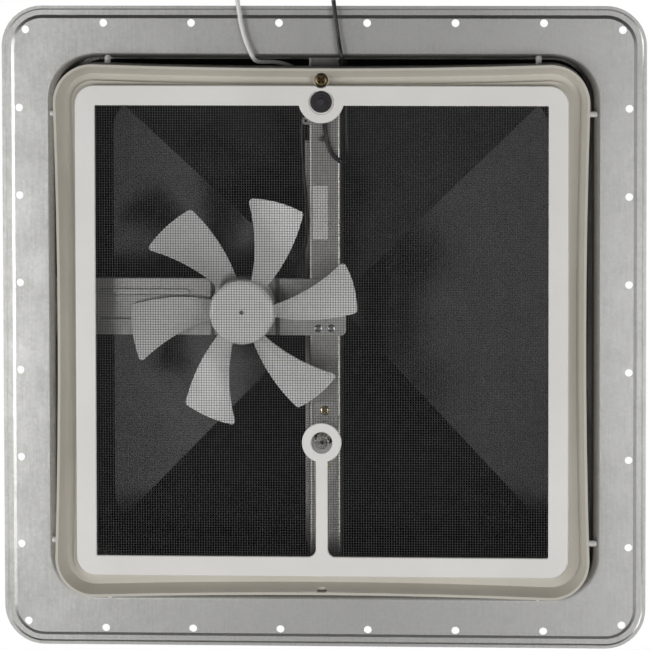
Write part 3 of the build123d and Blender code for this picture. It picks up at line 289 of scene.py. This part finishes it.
FINISHES = {
    "galvanised": galvanised(),
    "steel": plated_steel(),
    "dark_steel": plated_steel("dark_steel", (0.05, 0.045, 0.04), (0.12, 0.11, 0.1), 0.42),
    "bronze": plated_steel("bronze", (0.10, 0.07, 0.035), (0.27, 0.2, 0.11), 0.32),
    "yellow_zinc": plated_steel("yellow_zinc", (0.62, 0.5, 0.28), (0.85, 0.76, 0.56), 0.25),
    "tan_plastic": moulded(
        "tan_plastic", (0.49, 0.462, 0.4), (0.55, 0.52, 0.455), 0.5, soil=(0.33, 0.3, 0.25)
    ),
    "white_plastic": moulded("white_plastic", (0.73, 0.715, 0.685), (0.79, 0.775, 0.745), 0.4),
    "fan_plastic": moulded("fan_plastic", (0.86, 0.855, 0.85), (0.91, 0.905, 0.9), 0.3, coat=0.2),
    "screen_mesh": yarn(),
    "black_plastic": moulded("black_plastic", (0.009, 0.009, 0.011), (0.018, 0.018, 0.021), 0.4),
    "black_wire": insulation("black_wire", (0.008, 0.008, 0.009), (0.02, 0.02, 0.022)),
    "white_wire": insulation("white_wire", (0.68, 0.67, 0.65), (0.8, 0.79, 0.77)),
    "label": sticker(),
    "motor_steel": plated_steel("motor_steel", (0.32, 0.33, 0.34), (0.5, 0.51, 0.52), 0.3),
    "ferrite": moulded("ferrite", (0.03, 0.03, 0.032), (0.06, 0.06, 0.06), 0.7),
    "copper": plated_steel("copper", (0.38, 0.16, 0.07), (0.7, 0.34, 0.18), 0.3),
    "nylon": moulded("nylon", (0.6, 0.58, 0.52), (0.7, 0.68, 0.62), 0.45),
    "zinc_cast": galvanised("zinc_cast", (0.40, 0.40, 0.39), (0.66, 0.66, 0.64), (0.25, 0.38)),
    "brass": plated_steel("brass", (0.5, 0.34, 0.12), (0.78, 0.6, 0.3), 0.25),
    "smoke": smoke_lid(),
    "foam": foam(),
}

NODE_FINISHES = {
    "switch_button": moulded("button_plastic", (0.024, 0.02, 0.026), (0.042, 0.037, 0.046), 0.36),
    "crank_shaft": plated_steel("crank_steel", (0.62, 0.61, 0.58), (0.82, 0.81, 0.78), 0.22),
    # The bracket rivets take the darker motor steel as painted shade, standing in for the shadowed holes
    # of hollow rivets.
    "bracket_rivets": FINISHES["motor_steel"],
    "crossbar": galvanised("bar_zinc", (0.37, 0.36, 0.345), (0.54, 0.53, 0.51)),
}
EDGE_ROUND = 0.15
EDGE_ROUNDS = {
    "screen_frame": 0.25,
    "inner_liner": 0.6,
    "fan_blades": 0.2,
    "operator_housing": 0.25,
    "lid_dome": 0.5,
}
EDGE_LIMIT = 50
SOFT_EDGE_LIMITS = {"lid_dome": 14}
THIN_NODES = {"insect_screen", "blank_label", "drive_worm", "switch_spring"}


def finish_cad_node(name, node, slot):
    """Gives a CAD node its finish and a small edge round."""
    finish = NODE_FINISHES.get(name, FINISHES[slot])
    if node.material_slots:
        for used in node.material_slots:
            used.material = finish
    else:
        node.data.materials.append(finish)
    if name not in THIN_NODES:
        round_over = node.modifiers.new("edge_round", "BEVEL")
        round_over.width = EDGE_ROUNDS.get(name, EDGE_ROUND) * MM
        round_over.segments = 2
        round_over.limit_method = "ANGLE"
        round_over.angle_limit = math.radians(SOFT_EDGE_LIMITS.get(name, EDGE_LIMIT))
        round_over.harden_normals = True


for entry in frame["record"]["subparts"]:
    finish_cad_node(entry["node"], frame["nodes"][entry["node"]], entry["material_slot"])


# ---- mesh helpers ----


def add_mesh(name, vertices, faces, material, smooth=True):
    """A mesh object from plain lists."""
    mesh = bpy.data.meshes.new(name)
    mesh.from_pydata(vertices, [], faces)
    mesh.update()
    if smooth:
        mesh.shade_smooth()
    mesh.materials.append(material)
    piece = bpy.data.objects.new(name, mesh)
    bpy.context.scene.collection.objects.link(piece)
    return piece


def box_centre(node):
    """The middle of a CAD node's box."""
    low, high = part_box(node)
    return (Vector(low) + Vector(high)) / 2


# ---- woven insect screen ----

SCREEN_PITCH = 1.69 * MM
YARN_RADIUS = 0.165 * MM
YARN_SWING = 0.15 * MM
YARN_SIDES = 3
SCREEN_MARGIN = 3 * MM
SCREEN_INSET = 0.1 * MM
RING_GAP = 8.2 * MM
SWITCH_GAP = 9.6 * MM
UP = Vector((0, 0, 1))


def yarn_run(points, across, vertices, faces):
    """One closed length of yarn through points, with its section spanned by across and Z."""
    first = len(vertices)
    for point in points:
        for side in range(YARN_SIDES):
            angle = math.pi / 2 + 2 * math.pi * side / YARN_SIDES
            vertices.append(point + YARN_RADIUS * (math.cos(angle) * across + math.sin(angle) * UP))
    for i in range(len(points) - 1):
        row = first + i * YARN_SIDES
        for side in range(YARN_SIDES):
            following = (side + 1) % YARN_SIDES
            above = row + YARN_SIDES
            faces.append((row + side, row + following, above + following, above + side))
    faces.append(tuple(first + side for side in reversed(range(YARN_SIDES))))
    last = first + (len(points) - 1) * YARN_SIDES
    faces.append(tuple(last + side for side in range(YARN_SIDES)))


def weave(name, along, across, phase):
    """All the yarns of the screen that run one way, woven over and under the others."""
    low, high = (Vector(corner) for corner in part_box("insect_screen"))
    middle = (low + high) / 2
    half = (high.x - low.x) / 2 - SCREEN_MARGIN
    count = int(2 * half / SCREEN_PITCH)
    height = high.z - SCREEN_INSET
    ring = box_centre("crank_bush").to_2d()
    switch = box_centre("switch_nut").to_2d()
    vertices, faces = [], []
    for i in range(count):
        offset = (i - (count - 1) / 2) * SCREEN_PITCH
        run = []
        for j in range(count):
            place = (j - (count - 1) / 2) * SCREEN_PITCH
            point = Vector((middle.x, middle.y, height)) + along * place + across * offset
            from_ring = (point.to_2d() - ring).length
            from_switch = (point.to_2d() - switch).length
            clear = from_ring > RING_GAP and from_switch > SWITCH_GAP
            if clear:
                point.z += YARN_SWING * (1 if (i + j + phase) % 2 else -1)
                run.append(point)
            if run and (not clear or j == count - 1):
                if len(run) > 1:
                    yarn_run(run, across, vertices, faces)
                run = []
    piece = add_mesh(name, vertices, faces, FINISHES["screen_mesh"])
    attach(piece, "base")
    return piece


warp = weave("screen_warp_yarns", Vector((0, 1, 0)), Vector((1, 0, 0)), 0)
weave("screen_weft_yarns", Vector((1, 0, 0)), Vector((0, 1, 0)), 1)
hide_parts("insect_screen")


# ---- foam seal ----

SEAL_WIDTH = 8.0 * MM
SEAL_CORNER = 28 * MM
SEAL_SIDES = 20
SEAL_SQUARENESS = 0.45
SEAL_SQUEEZE = 0.03

def rounded_square_points(half, radius, corner_steps, side_steps):
    """Points and outward directions round a rounded square, in order."""
    ring = []
    centre = half - radius
    for corner in range(4):
        turn = Matrix.Rotation(corner * math.pi / 2, 2)
        for step in range(corner_steps + 1):
            angle = math.pi / 2 * step / corner_steps
            outward = Vector((math.cos(angle), math.sin(angle)))
            ring.append((turn @ (Vector((centre, centre)) + radius * outward), turn @ outward))
        for step in range(1, side_steps):
            share = step / side_steps
            ring.append((turn @ Vector((centre * (1 - 2 * share), half)), turn @ Vector((0, 1))))
    return ring


def crowned(share, size):
    """A place on the seal's squarish section, from a sine or cosine."""
    return math.copysign(abs(share) ** SEAL_SQUARENESS, share) * size / 2


def foam_seal():
    """The lid's foam seal: a crowned strip, slightly squeezed along its run."""
    low, high = (Vector(corner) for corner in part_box("lid_gasket"))
    height = high.z - low.z
    rng = random.Random(7)
    outline = []
    for step in range(SEAL_SIDES):
        angle = 2 * math.pi * step / SEAL_SIDES
        outline.append((crowned(math.cos(angle), SEAL_WIDTH), crowned(math.sin(angle), height)))
    vertices, faces = [], []
    ring = rounded_square_points(high.x - SEAL_WIDTH / 2, SEAL_CORNER, 10, 60)
    for point, outward in ring:
        squeeze = 1 - rng.random() * SEAL_SQUEEZE
        for across, up in outline:
            flat = point + outward * across * squeeze
            vertices.append((flat.x, flat.y, (low.z + high.z) / 2 + up))
    for i in range(len(ring)):
        row = i * SEAL_SIDES
        following = (i + 1) % len(ring) * SEAL_SIDES
        for step in range(SEAL_SIDES):
            other = (step + 1) % SEAL_SIDES
            faces.append((row + step, following + step, following + other, row + other))
    piece = add_mesh("foam_seal", vertices, faces, FINISHES["foam"])
    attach(piece, "lid")
    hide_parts("lid_gasket")


foam_seal()


# ---- stage ----

FLOOR_SIZE = 12.0
FLOOR_GAP = 0.5 * MM


def one_sided_floor():
    """A pale floor under the vent, seen only from above, so that the vent can also be seen from below."""
    s = Surface("floor")
    s.set(Roughness=0.8)
    s.link(s.ramp(s.noise(3.0), (0.3, (0.8, 0.8, 0.8)), (0.7, (0.84, 0.84, 0.84))), "Base Color")
    geometry = s.nodes.new("ShaderNodeNewGeometry")
    clear = s.nodes.new("ShaderNodeBsdfTransparent")
    blend = s.nodes.new("ShaderNodeMixShader")
    s.links.new(geometry.outputs["Backfacing"], blend.inputs["Fac"])
    s.links.new(s.shader.outputs["BSDF"], blend.inputs[1])
    s.links.new(clear.outputs["BSDF"], blend.inputs[2])
    s.links.new(blend.outputs["Shader"], s.output.inputs["Surface"])
    r = FLOOR_SIZE / 2
    z = cad_box[0].z - FLOOR_GAP
    corners = [(-r, -r, z), (r, -r, z), (r, r, z), (-r, r, z)]
    floor = add_mesh("floor", corners, [(0, 1, 2, 3)], s.material, smooth=False)
    floor.visible_diffuse = False
    floor.visible_glossy = False
    floor.visible_transmission = False
    floor.visible_shadow = False


def soft_light(name, location, size, power):
    """A square soft box aimed at the origin."""
    data = bpy.data.lights.new(name, "AREA")
    data.shape = "SQUARE"
    data.size = size
    data.energy = power
    lamp = bpy.data.objects.new(name, data)
    lamp.location = location
    lamp.rotation_euler = (-Vector(location)).to_track_quat("-Z", "Y").to_euler()
    bpy.context.scene.collection.objects.link(lamp)


def studio_world():
    """White to the camera; to everything else a soft sky above and next to nothing below."""
    world = bpy.data.worlds.new("studio")
    world.use_nodes = True
    nodes, links = world.node_tree.nodes, world.node_tree.links
    nodes.clear()
    path = nodes.new("ShaderNodeLightPath")
    ambient = nodes.new("ShaderNodeBackground")
    ambient.inputs["Color"].default_value = (0.96, 0.98, 1.0, 1.0)
    direction = nodes.new("ShaderNodeTexCoord")
    split = nodes.new("ShaderNodeSeparateXYZ")
    rise = nodes.new("ShaderNodeMapRange")
    rise.inputs["From Min"].default_value = -0.15
    rise.inputs["From Max"].default_value = 0.5
    rise.inputs["To Min"].default_value = 0.015
    rise.inputs["To Max"].default_value = 0.55
    links.new(direction.outputs["Generated"], split.inputs["Vector"])
    links.new(split.outputs["Z"], rise.inputs["Value"])
    links.new(rise.outputs["Result"], ambient.inputs["Strength"])
    seen = nodes.new("ShaderNodeBackground")
    seen.inputs["Color"].default_value = (1.0, 1.0, 1.0, 1.0)
    blend = nodes.new("ShaderNodeMixShader")
    out = nodes.new("ShaderNodeOutputWorld")
    links.new(path.outputs["Is Camera Ray"], blend.inputs["Fac"])
    links.new(ambient.outputs["Background"], blend.inputs[1])
    links.new(seen.outputs["Background"], blend.inputs[2])
    links.new(blend.outputs["Shader"], out.inputs["Surface"])
    bpy.context.scene.world = world


CAMERA_PLACE = Vector((0.1258, -0.2765, -1.5739))
CAMERA_TILT = (-1.946, -1.616, -0.055)
CAMERA_LENS = 130.90
CAMERA_SHIFT = {"shift_x": -0.1843, "shift_y": -0.5071}


def photographer_camera():
    """Camera below the vent, square to it, with a lens shift that applies only at its own place."""
    data = bpy.data.cameras.new("camera")
    data.lens = CAMERA_LENS
    data.clip_start = 0.05
    camera = bpy.data.objects.new("camera", data)
    camera.location = CAMERA_PLACE
    tilt = Euler([math.radians(angle) for angle in CAMERA_TILT], "ZYX").to_matrix()
    camera.rotation_euler = (tilt @ Matrix.Diagonal((1, -1, -1))).to_euler()
    bpy.context.scene.collection.objects.link(camera)
    for path, amount in CAMERA_SHIFT.items():
        curve = data.driver_add(path)
        curve.driver.type = "SCRIPTED"
        place = curve.driver.variables.new()
        place.name = "height"
        place.type = "TRANSFORMS"
        place.targets[0].id = camera
        place.targets[0].transform_type = "LOC_Z"
        curve.driver.expression = f"{amount} if abs(height - {CAMERA_PLACE.z:.4f}) < 0.0005 else 0"
    bpy.context.scene.camera = camera


one_sided_floor()
studio_world()
soft_light("left_box", (-0.95, 0.25, -1.45), 0.9, 8.2)
soft_light("right_box", (1.0, 0.25, -1.45), 0.9, 16.0)
soft_light("far_left_box", (-1.6, 0.1, -0.8), 0.8, 12.0)
soft_light("hinge_side_box", (0.0, 1.3, -1.3), 0.7, 2.0)
soft_light("above_box", (-0.7, -1.0, 1.9), 1.6, 22.0)
soft_light("far_above_box", (1.1, 0.9, 1.7), 1.6, 14.0)
photographer_camera()
bpy.context.scene.view_settings.view_transform = "Standard"
